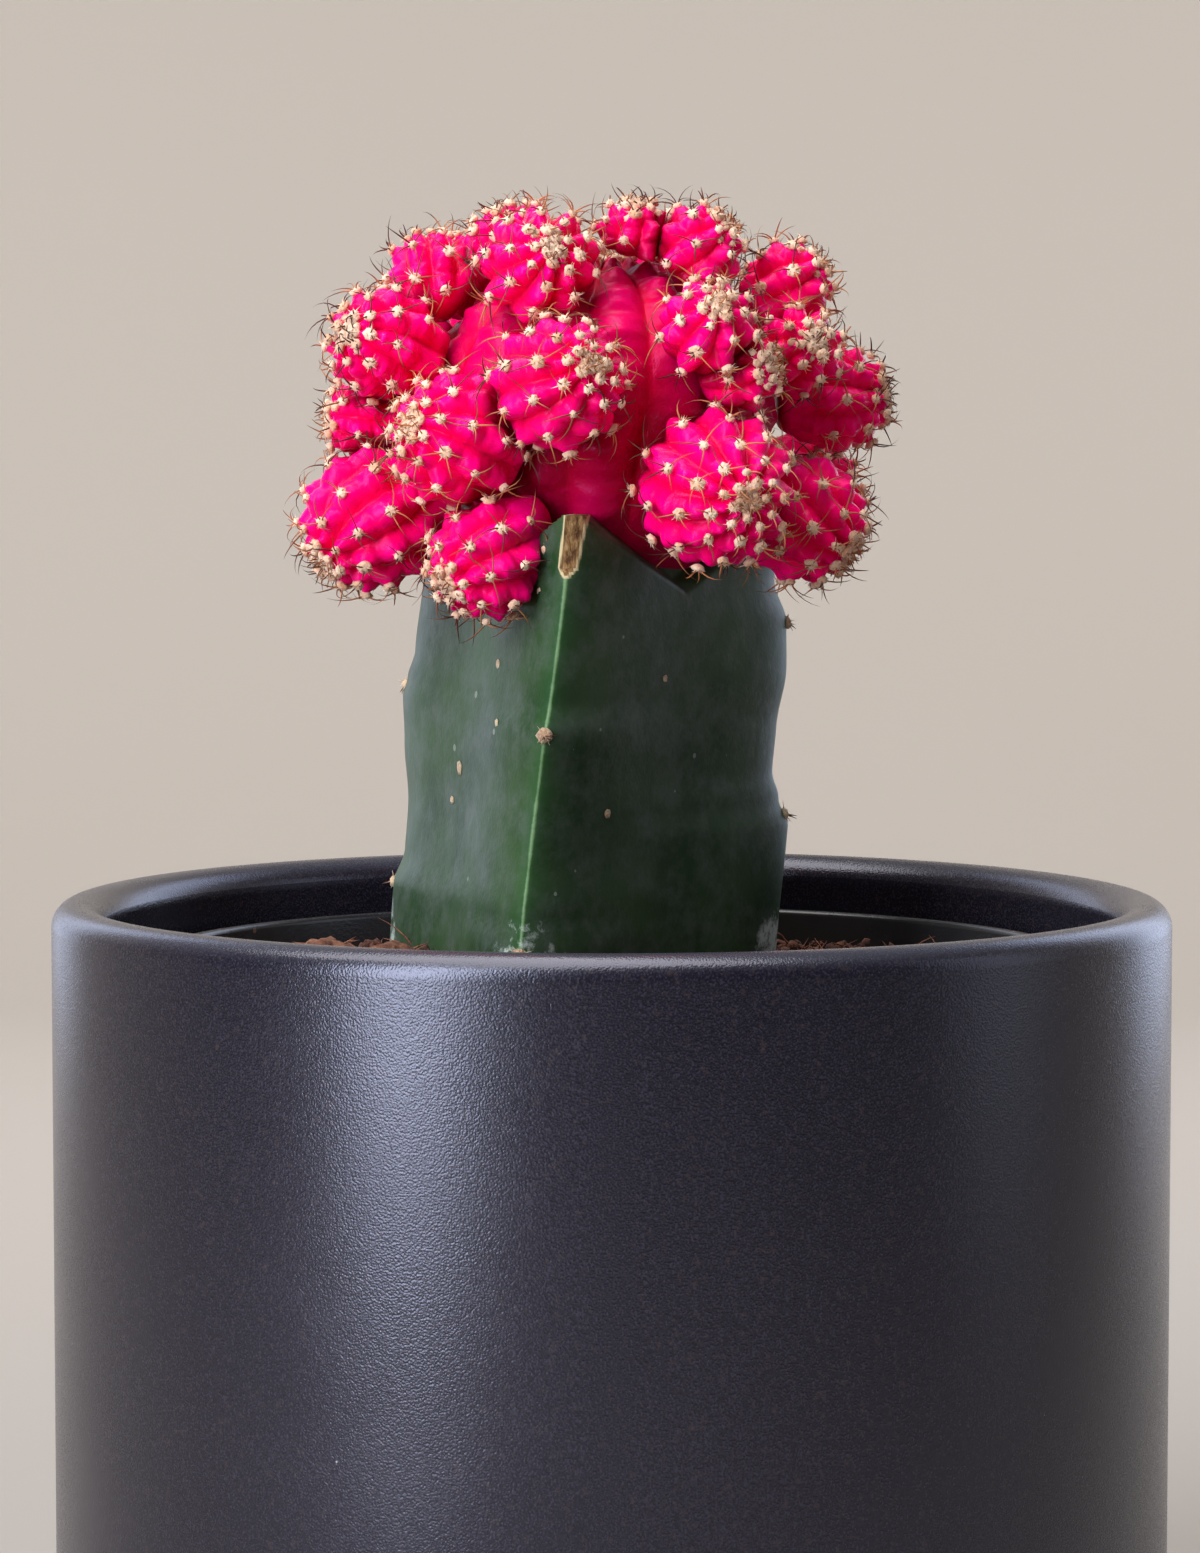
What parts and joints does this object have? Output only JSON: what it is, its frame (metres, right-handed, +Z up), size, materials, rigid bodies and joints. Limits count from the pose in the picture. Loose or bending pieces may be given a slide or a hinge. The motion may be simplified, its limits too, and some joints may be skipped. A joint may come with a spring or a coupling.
{
  "type": "potted cactus",
  "caption": "Grafted moon cactus: a round ribbed head crowded with pups on a three-winged green stem, in a plastic nursery pot inside a plain cylindrical cachepot.",
  "frame": {"origin": "middle of the cachepot's foot, on the surface that it stands on", "axes": "+Z up along the pot's axis, -Y towards the front, where the stem's front wing and the fullest pups face, +X to the plant's right as seen from the front"},
  "size_m": [0.12, 0.12, 0.1791],
  "materials": {
    "cachepot": "satin",
    "nursery_pot": "satin",
    "potting_mix": "matte",
    "husk_chip": "matte",
    "rootstock": "satin",
    "scion": "satin"
  },
  "bodies": {
    "root": {"cachepot": "cachepot", "nursery_pot": "nursery_pot", "potting_mix": "potting_mix", "rootstock": "rootstock", "husk_chip_1": "husk_chip", "husk_chip_2": "husk_chip", "husk_chip_3": "husk_chip", "husk_chip_4": "husk_chip", "husk_chip_5": "husk_chip", "husk_chip_6": "husk_chip", "husk_chip_7": "husk_chip", "husk_chip_8": "husk_chip", "husk_chip_9": "husk_chip", "mother_head": "scion", "pup_01": "scion", "pup_02": "scion", "pup_03": "scion", "pup_04": "scion", "pup_05": "scion", "pup_06": "scion", "pup_07": "scion", "pup_08": "scion", "pup_09": "scion", "pup_10": "scion", "pup_11": "scion", "pup_12": "scion", "pup_13": "scion", "pup_14": "scion", "pup_15": "scion", "pup_16": "scion", "pup_17": "scion", "pup_18": "scion", "pup_19": "scion", "pup_20": "scion", "pup_21": "scion", "pup_22": "scion", "pup_23": "scion", "pup_24": "scion", "pup_25": "scion", "pup_26": "scion", "pup_27": "scion", "pup_28": "scion", "pup_29": "scion", "pup_30": "scion"}
  },
  "joints": []
}
